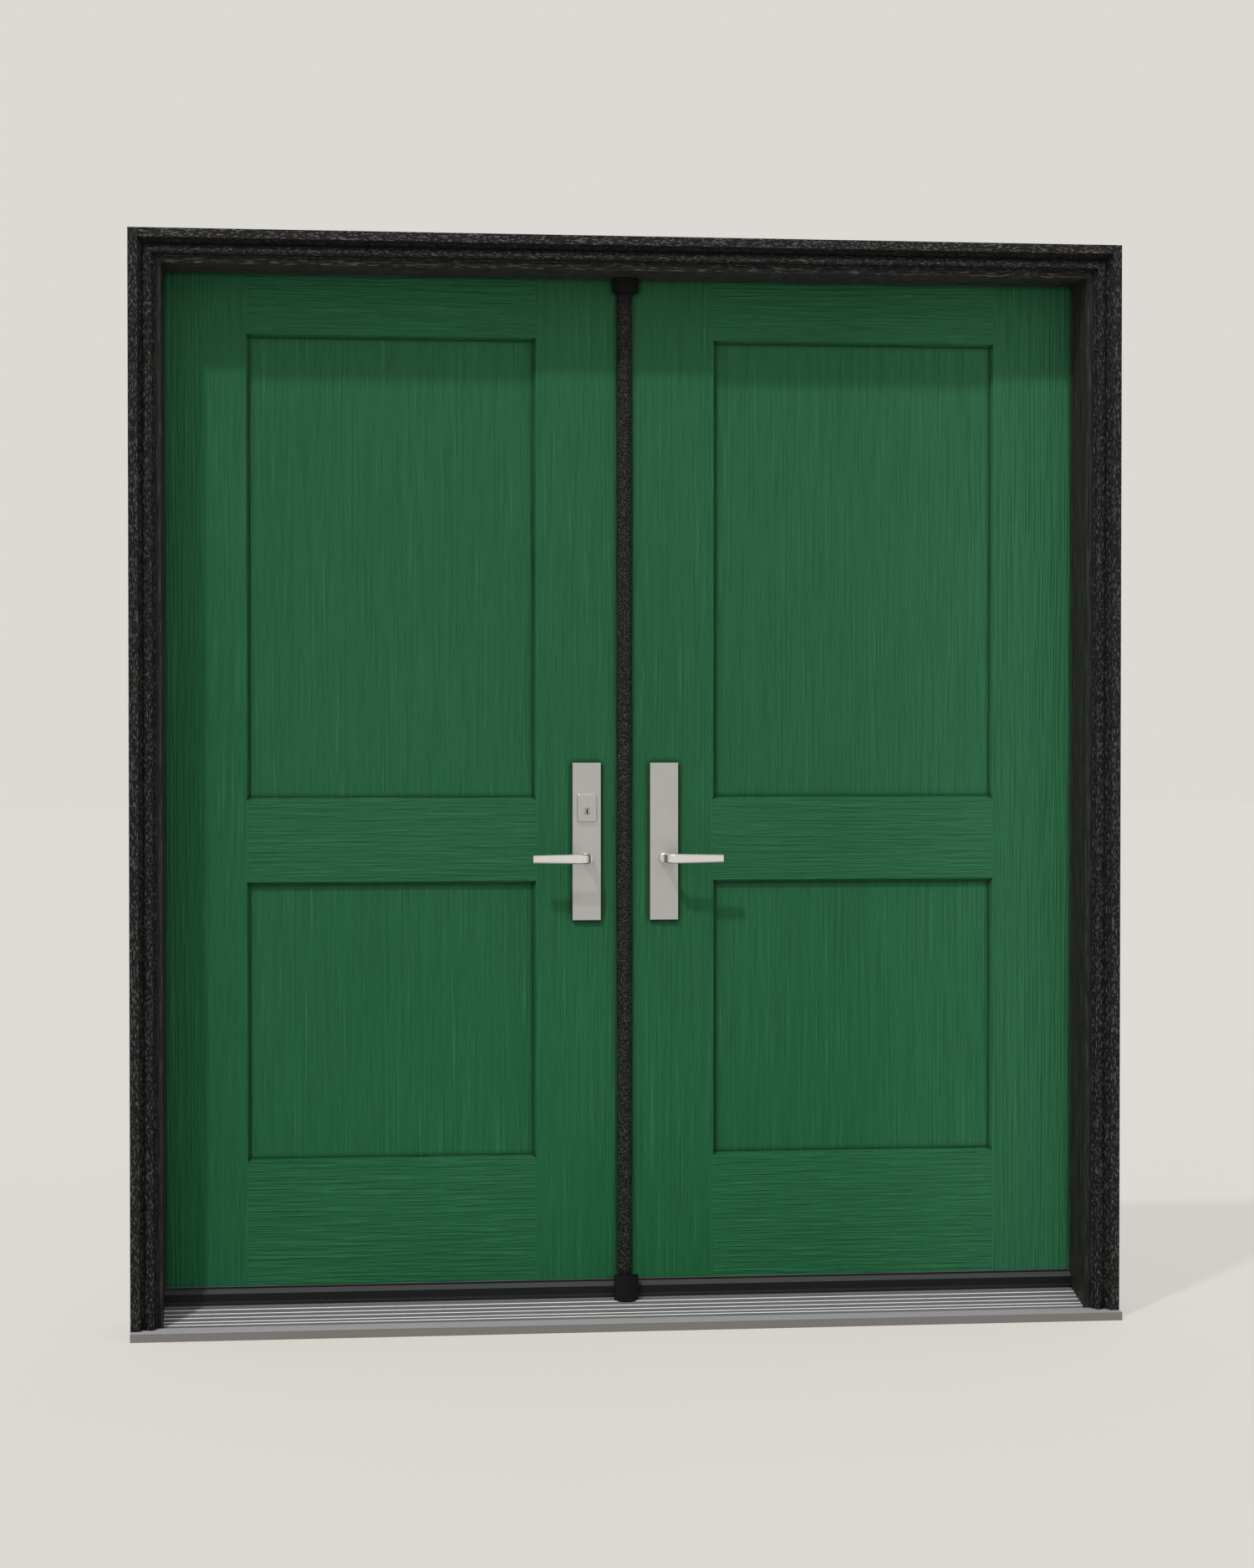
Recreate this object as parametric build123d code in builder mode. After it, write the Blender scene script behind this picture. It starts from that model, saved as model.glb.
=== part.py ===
"""Pair of inward-opening panelled entrance doors with their frame, threshold and hardware.

X runs to the right seen from outside, Y into the building and Z up. The origin is on the underside
of the threshold, in the middle of the doorway, on the plane of the wall's outer face. Everything is
modelled on the right-hand side, and the left-hand side is mirrored from it.
"""
import os
from math import atan2, cos, degrees, tan

from build123d import *

# Leaves
leaf_width = 914.4
leaf_height = 2009.0
leaf_thickness = 44.45
leaf_lift = 76.4
centre_gap = 19.0
hinge_gap = 3.0
head_gap = 3.0
lock_stile_width = 168.9
hinge_stile_width = 172.1
bottom_rail_width = 245.6
lower_panel_height = 553.3
lock_rail_width = 162.1
top_rail_width = 129.6

# Moulding worked round each panel opening, and the groove that holds the panel
bevel_width = 4.0
bevel_depth = 8.0
ledge_width = 1.4
panel_recess = 11.3
groove_reach = 6.0

# Frame
jamb_depth = 158.95
jamb_thickness = 19.05
stop_height = 11.7
seal_space = 4.0
kerf_width = 3.0
kerf_depth = 8.0
kerf_inset = 2.4
arris = 1.5
seal_width = 13.4
moulding_width = 50.8
moulding_thickness = 31.75
moulding_reveal = 12.0
band_width = 18.0
lip_thickness = 8.0
relief_width = 2.0
relief_depth = 1.0

# Threshold
nose_y = -53.5
nose_height = 15.6
level_end_y = 3.0
deck_end_y = 102.5
deck_end_z = 38.4
deck_sheet = 2.5
rib_height = 1.0
rib_width = 2.6
rib_ys = (16.0, 30.0, 48.5, 66.5, 86.0)
fine_rib_count = 17
fine_rib_pitch = 3.2
fine_rib_width = 1.7
lip_depth = 2.0
lip_bottom = 44.0
lip_top = 48.3
cap_face_top = 63.4
cap_height = 71.0
sweep_plate = 1.4
sweep_inset = 0.3

# Cover bar between the leaves, and its end blocks
bar_width = 27.5
bar_centre_x = -1.75
bar_projection = 13.5
bar_side = 6.0
bar_relief = 1.0
web_reach = 15.5
web_depth = 37.5
block_width = 48.0
block_bow = 9.5
head_block_height = 29.7
head_block_side = 15.0
sill_block_height = 15.0
sill_block_side = 13.2
bar_end_gap = 0.4

# Butt hinges
hinge_height = 101.6
hinge_plate = 2.3
hinge_plate_width = 36.0
hinge_top_inset = 180.0
hinge_bottom_inset = 250.0
knuckle_radius = 6.0
knuckle_setback = 6.3
knuckle_count = 5
pin_radius = 3.0
hinge_screw_head = 4.2
hinge_screw_shank = 2.0
hinge_screw_length = 22.0
hinge_screw_spots = ((-36.0, 11.0), (0.0, 24.0), (36.0, 11.0))

# Handle sets
handle_x = 78.0
lever_z = 920.3
cylinder_z = 1013.0
plate_width = 57.0
plate_bottom = 796.0
plate_height = 314.6
plate_thickness = 9.0
plate_edge = 0.8
neck_radius = 10.8
lever_reach = 112.0
lever_standoff = 65.0
lever_tip_height = 15.6
lever_bend_height = 19.4
lever_bar_thickness = 9.0
lever_bend = 18.0
lever_edge = 2.4
spindle_size = 8.0
spindle_length = 90.0
guard_width = 38.2
guard_height = 56.0
guard_depth = 6.0
guard_corner = 3.0
cylinder_radius = 8.5
cylinder_stem_width = 10.0
cylinder_stem_reach = 24.5
plug_radius = 6.5
turn_radius = 5.0

# Lock case, bolts and keeps
case_thickness = 16.0
lock_case_bottom = 890.0
lock_case_top = 1060.0
case_depth = 88.0
forend_thickness = 3.0
forend_width = 24.0
forend_overrun = 26.0
follower_radius = 10.0
latch_z = 962.0
latch_height = 22.0
latch_thickness = 12.0
latch_length = 45.0
latch_throw = 12.0
deadbolt_height = 32.0
deadbolt_thickness = 14.0
deadbolt_length = 54.0
deadbolt_throw = 25.0
strike_thickness = 2.0
bolt_case_bottom = 855.0
bolt_case_top = 965.0
rod_radius = 5.0
rod_inset = 25.0
rod_throw = 18.0
rod_in_case = 10.0
keep_radius = 8.0
keep_depth = 16.0
keep_plate = 2.0

clearance = 0.3

# Places that follow from the sizes
leaf_near = centre_gap / 2
leaf_far = leaf_near + leaf_width
rabbet_x = leaf_far + hinge_gap
stop_x = rabbet_x - stop_height
jamb_x = rabbet_x + jamb_thickness
moulding_in_x = stop_x + moulding_reveal
moulding_out_x = moulding_in_x + moulding_width
leaf_top = leaf_lift + leaf_height
rabbet_z = leaf_top + head_gap
stop_z = rabbet_z - stop_height
jamb_z = rabbet_z + jamb_thickness
moulding_in_z = stop_z + moulding_reveal
moulding_out_z = moulding_in_z + moulding_width
leaf_front = jamb_depth - leaf_thickness
leaf_mid = jamb_depth - leaf_thickness / 2
stop_y = leaf_front - seal_space
pin_x = (leaf_far + rabbet_x) / 2
pin_y = jamb_depth + knuckle_setback
deck_angle = atan2(deck_end_z - nose_height, deck_end_y - level_end_y)
sheet_drop = deck_sheet / cos(deck_angle)
under_bend_y = level_end_y + (sheet_drop - deck_sheet) / tan(deck_angle)
heel_y = deck_end_y + lip_depth
bar_bottom = cap_height + sill_block_height + bar_end_gap
bar_top = stop_z - head_block_height - bar_end_gap
hinge_middle = ((leaf_top - hinge_top_inset) + (leaf_lift + hinge_bottom_inset)) / 2
hinge_heights = (leaf_lift + hinge_bottom_inset, hinge_middle, leaf_top - hinge_top_inset)
rod_x = leaf_near + rod_inset
plate_front = leaf_front - plate_thickness
mirror_y = Plane.XZ.offset(-leaf_mid)

pieces = {}


def deck_z(y):
    """Height of the deck at a distance y from the wall plane: level, then sloping up to the lip."""
    return nose_height + max(0, y - level_end_y) * tan(deck_angle)


def mirrored(piece, about=Plane.YZ):
    """The same piece for the other side."""
    with BuildPart() as other:
        add(piece.part)
        mirror(about=about, mode=Mode.REPLACE)
    return other


def upright(points):
    """Locations on the face x = given, for drilling along X: each point is (x, y, z, direction)."""
    return [Plane(origin=(x, y, z), z_dir=(side, 0, 0)).location for x, y, z, side in points]


# Threshold
with BuildPart() as wall_notches:
    with BuildSketch(Plane.XY.offset(-1)):
        with Locations((jamb_x, 0), (-jamb_x - moulding_width, 0)):
            Rectangle(moulding_width, jamb_depth * 2, align=(Align.MIN, Align.MIN))
    extrude(amount=deck_end_z * 2)

with BuildPart() as threshold_deck:
    with BuildSketch(Plane.YZ):
        with BuildLine():
            Polyline(
                (nose_y, 0),
                (nose_y, nose_height),
                (level_end_y, nose_height),
                (deck_end_y, deck_end_z),
                (deck_end_y, deck_end_z - sheet_drop),
                (under_bend_y, nose_height - deck_sheet),
                (nose_y + deck_sheet, nose_height - deck_sheet),
                (nose_y + deck_sheet, 0),
                close=True,
            )
        make_face()
        with Locations(*[Location((y, deck_z(y) - 0.2, 0), (0, 0, degrees(deck_angle))) for y in rib_ys]):
            Trapezoid(rib_width, rib_height + 0.2, 72, align=(Align.CENTER, Align.MIN))
        fine_rib_ys = [nose_y + fine_rib_pitch * (i + 0.8) for i in range(fine_rib_count)]
        with Locations(*[(y, nose_height - 0.2) for y in fine_rib_ys]):
            Trapezoid(fine_rib_width, rib_height + 0.2, 78, align=(Align.CENTER, Align.MIN))
    extrude(amount=moulding_out_x, both=True)
    add(wall_notches.part, mode=Mode.SUBTRACT)
    with BuildSketch(Plane.YZ):
        with BuildLine():
            Polyline(
                (deck_end_y, deck_end_z - sheet_drop),
                (deck_end_y, deck_end_z),
                (heel_y, deck_end_z),
                (heel_y, lip_bottom),
                (deck_end_y, lip_bottom),
                (deck_end_y, lip_top),
                (heel_y + deck_sheet, lip_top),
                (heel_y + deck_sheet, deck_end_z - sheet_drop),
                close=True,
            )
        make_face()
    extrude(amount=stop_x - clearance, both=True)
pieces["threshold_deck"] = threshold_deck

with BuildPart() as threshold_base:
    with BuildSketch(Plane.YZ):
        with BuildLine():
            Polyline(
                (nose_y + deck_sheet, 0),
                (nose_y + deck_sheet, nose_height - deck_sheet),
                (under_bend_y, nose_height - deck_sheet),
                (deck_end_y, deck_end_z - sheet_drop),
                (heel_y + deck_sheet, deck_end_z - sheet_drop),
                (heel_y + deck_sheet, deck_end_z),
                (jamb_depth, deck_end_z),
                (jamb_depth, 0),
                close=True,
            )
        make_face()
    extrude(amount=moulding_out_x, both=True)
    add(wall_notches.part, mode=Mode.SUBTRACT)
pieces["threshold_base"] = threshold_base

with BuildPart() as sill_cap:
    with BuildSketch(Plane.YZ):
        with BuildLine():
            Polyline(
                (deck_end_y + lip_depth / 3, lip_top),
                (deck_end_y + lip_depth / 3, cap_face_top),
                (leaf_front, cap_height),
                (jamb_depth, cap_height),
                (jamb_depth, deck_end_z),
                (heel_y + deck_sheet, deck_end_z),
                (heel_y + deck_sheet, lip_top),
                close=True,
            )
        make_face()
    extrude(amount=rabbet_x - clearance, both=True)
    with BuildSketch(Plane.XY.offset(deck_end_z)):
        with Locations((stop_x - clearance, 0), (-rabbet_x, 0)):
            Rectangle(stop_height + clearance, stop_y + clearance, align=(Align.MIN, Align.MIN))
    extrude(amount=cap_height, mode=Mode.SUBTRACT)
    with Locations((rod_x, leaf_mid, cap_height)):
        CounterBoreHole(keep_radius, keep_radius * 1.6, keep_plate, keep_depth)
pieces["sill_cap"] = sill_cap

# What the feet of the frame are scribed to: the tops of the deck ribs, then the level rear of the base
with BuildPart() as under_frame:
    with BuildSketch(Plane.YZ):
        with BuildLine():
            Polyline(
                (nose_y, -1),
                (nose_y, nose_height + rib_height),
                (level_end_y, nose_height + rib_height),
                (deck_end_y, deck_end_z + rib_height / cos(deck_angle)),
                (deck_end_y, deck_end_z),
                (jamb_depth + 1, deck_end_z),
                (jamb_depth + 1, -1),
                close=True,
            )
        make_face()
    extrude(amount=moulding_out_x + 1, both=True)

# Frame
screw_spots = [
    (jamb_depth - back, height + along) for height in hinge_heights for along, back in hinge_screw_spots
]
jamb_screws = [(rabbet_x, y, z, -1) for y, z in screw_spots]
leaf_screws = [(leaf_far, y, z, 1) for y, z in screw_spots]

with BuildPart() as hinge_mortises:
    with BuildSketch(Plane.XZ.offset(-(jamb_depth - hinge_plate_width))):
        with Locations(*[(leaf_far - hinge_plate, height) for height in hinge_heights]):
            Rectangle(
                rabbet_x - leaf_far + 2 * hinge_plate,
                hinge_height,
                align=(Align.MIN, Align.CENTER),
            )
    extrude(amount=-hinge_plate_width)

with BuildPart() as right_jamb:
    with BuildSketch():
        with Locations((rabbet_x, 0)):
            Rectangle(jamb_thickness, jamb_depth, align=(Align.MIN, Align.MIN))
        with Locations((stop_x, 0)):
            Rectangle(stop_height, stop_y, align=(Align.MIN, Align.MIN))
        with Locations((rabbet_x - kerf_inset, stop_y)):
            Rectangle(kerf_width, kerf_depth, align=(Align.MAX, Align.MAX), mode=Mode.SUBTRACT)
    extrude(amount=jamb_z)
    fillet(right_jamb.edges().filter_by(Axis.Z).group_by(Axis.Y)[0].sort_by(Axis.X)[0], arris)
    add(under_frame.part, mode=Mode.SUBTRACT)
    add(hinge_mortises.part, mode=Mode.SUBTRACT)
    with Locations(*upright(jamb_screws)):
        Hole(hinge_screw_shank + 0.1, hinge_screw_length)
pieces["right_jamb"] = right_jamb
pieces["left_jamb"] = mirrored(right_jamb)

with BuildPart() as head_jamb:
    with BuildSketch(Plane.YZ):
        with Locations((0, rabbet_z)):
            Rectangle(jamb_depth, jamb_thickness, align=(Align.MIN, Align.MIN))
        with Locations((0, stop_z)):
            Rectangle(stop_y, stop_height, align=(Align.MIN, Align.MIN))
        with Locations((stop_y, rabbet_z - kerf_inset)):
            Rectangle(kerf_depth, kerf_width, align=(Align.MAX, Align.MAX), mode=Mode.SUBTRACT)
    extrude(amount=rabbet_x, both=True)
    fillet(head_jamb.edges().filter_by(Axis.X).group_by(Axis.Y)[0].sort_by(Axis.Z)[0], arris)
    with BuildSketch(Plane.XY.offset(stop_z)):
        with Locations((stop_x, 0), (-rabbet_x, 0)):
            Rectangle(stop_height, stop_y, align=(Align.MIN, Align.MIN))
    extrude(amount=stop_height + jamb_thickness, mode=Mode.SUBTRACT)
    with Locations(Plane(origin=(rod_x, leaf_mid, rabbet_z), z_dir=(0, 0, -1)).location):
        CounterBoreHole(keep_radius, keep_radius * 1.6, keep_plate, keep_depth)
pieces["head_jamb"] = head_jamb

# Brick moulding: flat band, cove, bead and thin lip, measured from the outer edge. A shallow groove in
# its back, just outside the jamb, keeps it off the corner of the rough opening.
bead_start = band_width + 8.5
bead_top = band_width + 22.5
bead_end = moulding_width - 4.6
with BuildSketch() as moulding_section:
    with BuildLine():
        Line((0, 0), (0, moulding_thickness - 0.8))
        Line((0, moulding_thickness - 0.8), (0.8, moulding_thickness))
        Line((0.8, moulding_thickness), (band_width, moulding_thickness))
        ThreePointArc((band_width, moulding_thickness), (band_width + 2.4, 20.0), (bead_start, 13.2))
        ThreePointArc((bead_start, 13.2), (bead_start + 6.6, 18.8), (bead_top, 20.4))
        ThreePointArc((bead_top, 20.4), (bead_end - 1.8, 18.0), (bead_end, 13.2))
        Line((bead_end, 13.2), (bead_end, lip_thickness))
        Line((bead_end, lip_thickness), (moulding_width - 1, lip_thickness))
        Line((moulding_width - 1, lip_thickness), (moulding_width, lip_thickness - 1))
        Line((moulding_width, lip_thickness - 1), (moulding_width, 0))
        Line((moulding_width, 0), (0, 0))
    make_face()
    with Locations((moulding_out_x - jamb_x, 0)):
        Rectangle(relief_width, relief_depth, align=(Align.MAX, Align.MIN), mode=Mode.SUBTRACT)

mitre = Plane(origin=(moulding_out_x, 0, moulding_out_z), x_dir=(0, 1, 0), z_dir=(1, 0, -1))

with BuildPart() as right_brickmould:
    with BuildSketch(Plane(origin=(moulding_out_x, 0, 0), x_dir=(-1, 0, 0), z_dir=(0, 0, 1))):
        add(moulding_section.sketch)
    extrude(amount=moulding_out_z)
    split(bisect_by=mitre, keep=Keep.TOP)
    add(under_frame.part, mode=Mode.SUBTRACT)
pieces["right_brickmould"] = right_brickmould
pieces["left_brickmould"] = mirrored(right_brickmould)

with BuildPart() as head_brickmould:
    with BuildSketch(Plane(origin=(0, 0, moulding_out_z), x_dir=(0, 0, -1), z_dir=(-1, 0, 0))):
        add(moulding_section.sketch)
    extrude(amount=-moulding_out_x)
    split(bisect_by=mitre, keep=Keep.BOTTOM)
    mirror(about=Plane.YZ)
pieces["head_brickmould"] = head_brickmould

# Seals: a leg pushed into the kerf and a soft bulb that the leaf closes on
seal_depth = seal_space - clearance

with BuildPart() as side_weatherstrips:
    with BuildSketch(Plane.XY.offset(cap_height + clearance)):
        with Locations((rabbet_x - clearance, stop_y)):
            Rectangle(seal_width, seal_depth, align=(Align.MAX, Align.MIN))
        with Locations((rabbet_x - kerf_inset - kerf_width / 2, stop_y)):
            Rectangle(kerf_width - 0.2, kerf_depth - 0.5, align=(Align.CENTER, Align.MAX))
    extrude(amount=rabbet_z - seal_width - cap_height - 3 * clearance)
    fillet(side_weatherstrips.edges().filter_by(Axis.Z).group_by(Axis.Y)[-1], seal_depth * 0.45)
    mirror(about=Plane.YZ)
pieces["side_weatherstrips"] = side_weatherstrips

with BuildPart() as head_weatherstrip:
    with BuildSketch(Plane.YZ):
        with Locations((stop_y, rabbet_z - clearance)):
            Rectangle(seal_depth, seal_width, align=(Align.MIN, Align.MAX))
    extrude(amount=rabbet_x - clearance, both=True)
    fillet(head_weatherstrip.edges().filter_by(Axis.X).group_by(Axis.Y)[-1], seal_depth * 0.45)
    with BuildSketch(Plane.YZ):
        with Locations((stop_y, rabbet_z - kerf_inset - kerf_width / 2)):
            Rectangle(kerf_depth - 0.5, kerf_width - 0.2, align=(Align.MAX, Align.CENTER))
    extrude(amount=stop_x - clearance, both=True)
pieces["head_weatherstrip"] = head_weatherstrip


def end_block(back_y, side, low, high):
    """Block with a flat back, straight sides and a bowed front."""
    with BuildPart() as block:
        with BuildSketch(Plane.XY.offset(low)):
            with Locations((0, back_y)):
                Rectangle(block_width, side, align=(Align.CENTER, Align.MAX))
            with BuildLine():
                ThreePointArc(
                    (-block_width / 2, back_y - side),
                    (0, back_y - side - block_bow),
                    (block_width / 2, back_y - side),
                )
                Line((block_width / 2, back_y - side), (-block_width / 2, back_y - side))
            make_face()
        extrude(amount=high - low)
    return block


# Blocks that close the doorway above and below the cover bar
with BuildPart() as astragal_head_block:
    add(end_block(leaf_front - clearance, head_block_side, stop_z - head_block_height, stop_z).part)
    add(head_weatherstrip.part, mode=Mode.SUBTRACT)
pieces["astragal_head_block"] = astragal_head_block

with BuildPart() as astragal_sill_block:
    add(end_block(deck_end_y - clearance, sill_block_side, nose_height, cap_height + sill_block_height).part)
    add(under_frame.part, mode=Mode.SUBTRACT)
pieces["astragal_sill_block"] = astragal_sill_block

# Hinges
knuckle_height = hinge_height / knuckle_count


def hinge_half(plate_x, barrels, bore):
    """One flap of a butt hinge, standing at mid height zero, with its share of the knuckles."""
    with BuildPart() as half:
        with BuildSketch(Plane.XY.offset(-hinge_height / 2)):
            with Locations((plate_x, jamb_depth)):
                Rectangle(hinge_plate, hinge_plate_width, align=(Align.CENTER, Align.MAX))
        extrude(amount=hinge_height)
        for barrel in barrels:
            with BuildSketch(Plane.XY.offset(-hinge_height / 2 + barrel * knuckle_height + clearance / 2)):
                with Locations((pin_x, pin_y)):
                    Circle(knuckle_radius)
                with Locations((plate_x, jamb_depth)):
                    Rectangle(hinge_plate, knuckle_setback, align=(Align.CENTER, Align.MIN))
                with Locations((pin_x, pin_y)):
                    Circle(bore, mode=Mode.SUBTRACT)
            extrude(amount=knuckle_height - clearance)
        side = 1 if plate_x < pin_x else -1
        face_x = plate_x + side * hinge_plate / 2
        spots = [(face_x, jamb_depth - back, along, side) for along, back in hinge_screw_spots]
        with Locations(*upright(spots)):
            CounterSinkHole(hinge_screw_shank + 0.1, hinge_screw_head + 0.1, hinge_plate * 2)
    return half


with BuildPart() as screw:
    with BuildSketch(Plane.XZ):
        with BuildLine():
            Polyline(
                (0, 0),
                (hinge_screw_head, 0),
                (hinge_screw_shank, hinge_screw_shank - hinge_screw_head),
                (hinge_screw_shank, -hinge_screw_length + 2),
                (0, -hinge_screw_length + 1),
                close=True,
            )
        make_face()
    revolve(axis=Axis.Z)

with BuildPart() as pin:
    with BuildSketch(Plane(origin=(pin_x, pin_y, 0), x_dir=(1, 0, 0), z_dir=(0, -1, 0))):
        with BuildLine():
            Polyline(
                (0, -hinge_height / 2 - 3),
                (pin_radius, -hinge_height / 2 - 3),
                (pin_radius, hinge_height / 2),
                (knuckle_radius - 1, hinge_height / 2),
                (knuckle_radius - 1.6, hinge_height / 2 + 3),
                (0, hinge_height / 2 + 4),
                close=True,
            )
        make_face()
    revolve(axis=Axis((pin_x, pin_y, 0), (0, 0, 1)))

hinge_places = [(0, 0, height) for height in hinge_heights]
frame_half = hinge_half(rabbet_x + hinge_plate / 2, (0, 2, 4), pin_radius + 0.05)
leaf_half = hinge_half(leaf_far - hinge_plate / 2, (1, 3), pin_radius + clearance)

with BuildPart() as frame_hinge_leaves:
    with Locations(*hinge_places):
        add(frame_half.part)
    mirror(about=Plane.YZ)
pieces["frame_hinge_leaves"] = frame_hinge_leaves

with BuildPart() as hinge_pins:
    with Locations(*hinge_places):
        add(pin.part)
    mirror(about=Plane.YZ)
pieces["hinge_pins"] = hinge_pins

with BuildPart() as frame_hinge_screws:
    with Locations(*upright(jamb_screws)):
        add(screw.part)
    mirror(about=Plane.YZ)
pieces["frame_hinge_screws"] = frame_hinge_screws

with BuildPart() as passive_hinge_leaves:
    with Locations(*hinge_places):
        add(leaf_half.part)
pieces["passive_hinge_leaves"] = passive_hinge_leaves
pieces["active_hinge_leaves"] = mirrored(passive_hinge_leaves)

with BuildPart() as passive_hinge_screws:
    with Locations(*upright(leaf_screws)):
        add(screw.part)
pieces["passive_hinge_screws"] = passive_hinge_screws
pieces["active_hinge_screws"] = mirrored(passive_hinge_screws)

# Leaves: stiles, rails and flat panels held in grooves
opening_left = leaf_near + lock_stile_width
opening_right = leaf_far - hinge_stile_width
opening_width = opening_right - opening_left
opening_x = (opening_left + opening_right) / 2
lower_bottom = leaf_lift + bottom_rail_width
lower_top = lower_bottom + lower_panel_height
upper_bottom = lower_top + lock_rail_width
upper_top = leaf_top - top_rail_width
panel_thickness = leaf_thickness - 2 * panel_recess
sticking = bevel_width + ledge_width
tongue = sticking + groove_reach
front_plane = Plane(origin=(0, leaf_front, 0), x_dir=(1, 0, 0), z_dir=(0, -1, 0))
back_plane = Plane(origin=(0, jamb_depth, 0), x_dir=(1, 0, 0), z_dir=(0, -1, 0))
panel_plane = Plane(origin=(0, leaf_mid + panel_thickness / 2, 0), x_dir=(1, 0, 0), z_dir=(0, -1, 0))
bevel_taper = degrees(atan2(bevel_width, bevel_depth))


def panel_space(low, high):
    """What is cut away round one panel: bevelled edge on both faces, clear opening and groove."""
    with BuildPart() as space:
        with BuildSketch(front_plane):
            with Locations((opening_x, (low + high) / 2)):
                Rectangle(opening_width, high - low)
        extrude(amount=-bevel_depth, taper=bevel_taper)
        mirror(about=mirror_y)
        with BuildSketch(back_plane):
            with Locations((opening_x, (low + high) / 2)):
                Rectangle(opening_width - 2 * sticking, high - low - 2 * sticking)
        extrude(amount=leaf_thickness)
        with BuildSketch(panel_plane):
            with Locations((opening_x, (low + high) / 2)):
                Rectangle(opening_width + 2 * groove_reach, high - low + 2 * groove_reach)
        extrude(amount=panel_thickness)
    return space


lower_space = panel_space(lower_bottom, lower_top)
upper_space = panel_space(upper_bottom, upper_top)


def panel(low, high):
    """One flat panel with its edges in the grooves."""
    with BuildPart() as board:
        with BuildSketch(panel_plane):
            with Locations((opening_x, (low + high) / 2)):
                Rectangle(opening_width + 2 * groove_reach, high - low + 2 * groove_reach)
        extrude(amount=panel_thickness)
    return board


def stile(left, right, edge_x, turn):
    """An upright member, with the moulded edge beside each panel mitred at its ends."""
    with BuildPart() as member:
        with BuildSketch(back_plane):
            with Locations((left, leaf_lift)):
                Rectangle(right - left, leaf_height, align=(Align.MIN, Align.MIN))
            with Locations((edge_x, (lower_bottom + lower_top) / 2)):
                Trapezoid(lower_panel_height, tongue, 45, rotation=turn, align=(Align.CENTER, Align.MIN))
            with Locations((edge_x, (upper_bottom + upper_top) / 2)):
                Trapezoid(upper_top - upper_bottom, tongue, 45, rotation=turn, align=(Align.CENTER, Align.MIN))
        extrude(amount=leaf_thickness)
        add(lower_space.part, mode=Mode.SUBTRACT)
        add(upper_space.part, mode=Mode.SUBTRACT)
    return member


def rail(low, high, panel_above, panel_below):
    """A level member between the stiles, with the moulded edge above and below it."""
    with BuildPart() as member:
        with BuildSketch(back_plane):
            with Locations((opening_left, low)):
                Rectangle(opening_width, high - low, align=(Align.MIN, Align.MIN))
            if panel_above:
                with Locations((opening_x, high)):
                    Trapezoid(opening_width, tongue, 45, align=(Align.CENTER, Align.MIN))
            if panel_below:
                with Locations((opening_x, low)):
                    Trapezoid(opening_width, tongue, 45, rotation=180, align=(Align.CENTER, Align.MIN))
        extrude(amount=leaf_thickness)
        add(lower_space.part, mode=Mode.SUBTRACT)
        add(upper_space.part, mode=Mode.SUBTRACT)
    return member


with BuildPart() as passive_hinge_stile:
    add(stile(opening_right, leaf_far, opening_right, 90).part)
    add(hinge_mortises.part, mode=Mode.SUBTRACT)
    with Locations(*upright(leaf_screws)):
        Hole(hinge_screw_shank + 0.1, hinge_screw_length)
plain_lock_stile = stile(leaf_near, opening_left, opening_left, -90)

for name, piece in {
    "hinge_stile": passive_hinge_stile,
    "top_rail": rail(upper_top, leaf_top, False, True),
    "lock_rail": rail(lower_top, upper_bottom, True, True),
    "bottom_rail": rail(leaf_lift, lower_bottom, True, False),
    "upper_panel": panel(upper_bottom, upper_top),
    "lower_panel": panel(lower_bottom, lower_top),
}.items():
    pieces["passive_" + name] = piece
    pieces["active_" + name] = mirrored(piece)

# Profile of the cylinder: a round top turned downwards, with its stem above
with BuildSketch() as cylinder_section:
    Circle(cylinder_radius)
    Rectangle(cylinder_stem_width, cylinder_stem_reach - cylinder_stem_width / 2, align=(Align.CENTER, Align.MIN))
    with Locations((0, cylinder_stem_reach - cylinder_stem_width / 2)):
        Circle(cylinder_stem_width / 2)
handle_plane = Plane(origin=(handle_x, 0, 0), x_dir=(1, 0, 0), z_dir=(0, -1, 0))

with BuildPart() as cylinder_hole:
    with BuildSketch(handle_plane.offset(-jamb_depth * 2)):
        with Locations((0, cylinder_z)):
            add(cylinder_section.sketch)
        offset(amount=0.25)
    extrude(amount=jamb_depth * 2)


def mortise_case(bottom, top, channels):
    """Case with its forend let into the edge of the stile, bored for the follower."""
    with BuildPart() as case:
        with BuildSketch(Plane.XY.offset(bottom)):
            with Locations((leaf_near, leaf_mid)):
                Rectangle(case_depth, case_thickness, align=(Align.MIN, Align.CENTER))
        extrude(amount=top - bottom)
        with BuildSketch(Plane.XY.offset(bottom - forend_overrun)):
            with Locations((leaf_near, leaf_mid)):
                Rectangle(forend_thickness, forend_width, align=(Align.MIN, Align.CENTER))
        extrude(amount=top - bottom + 2 * forend_overrun)
        with Locations(Plane(origin=(handle_x, 0, lever_z), z_dir=(0, -1, 0)).location):
            Hole(follower_radius + clearance)
        add(channels.part, mode=Mode.SUBTRACT)
    return case


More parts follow.
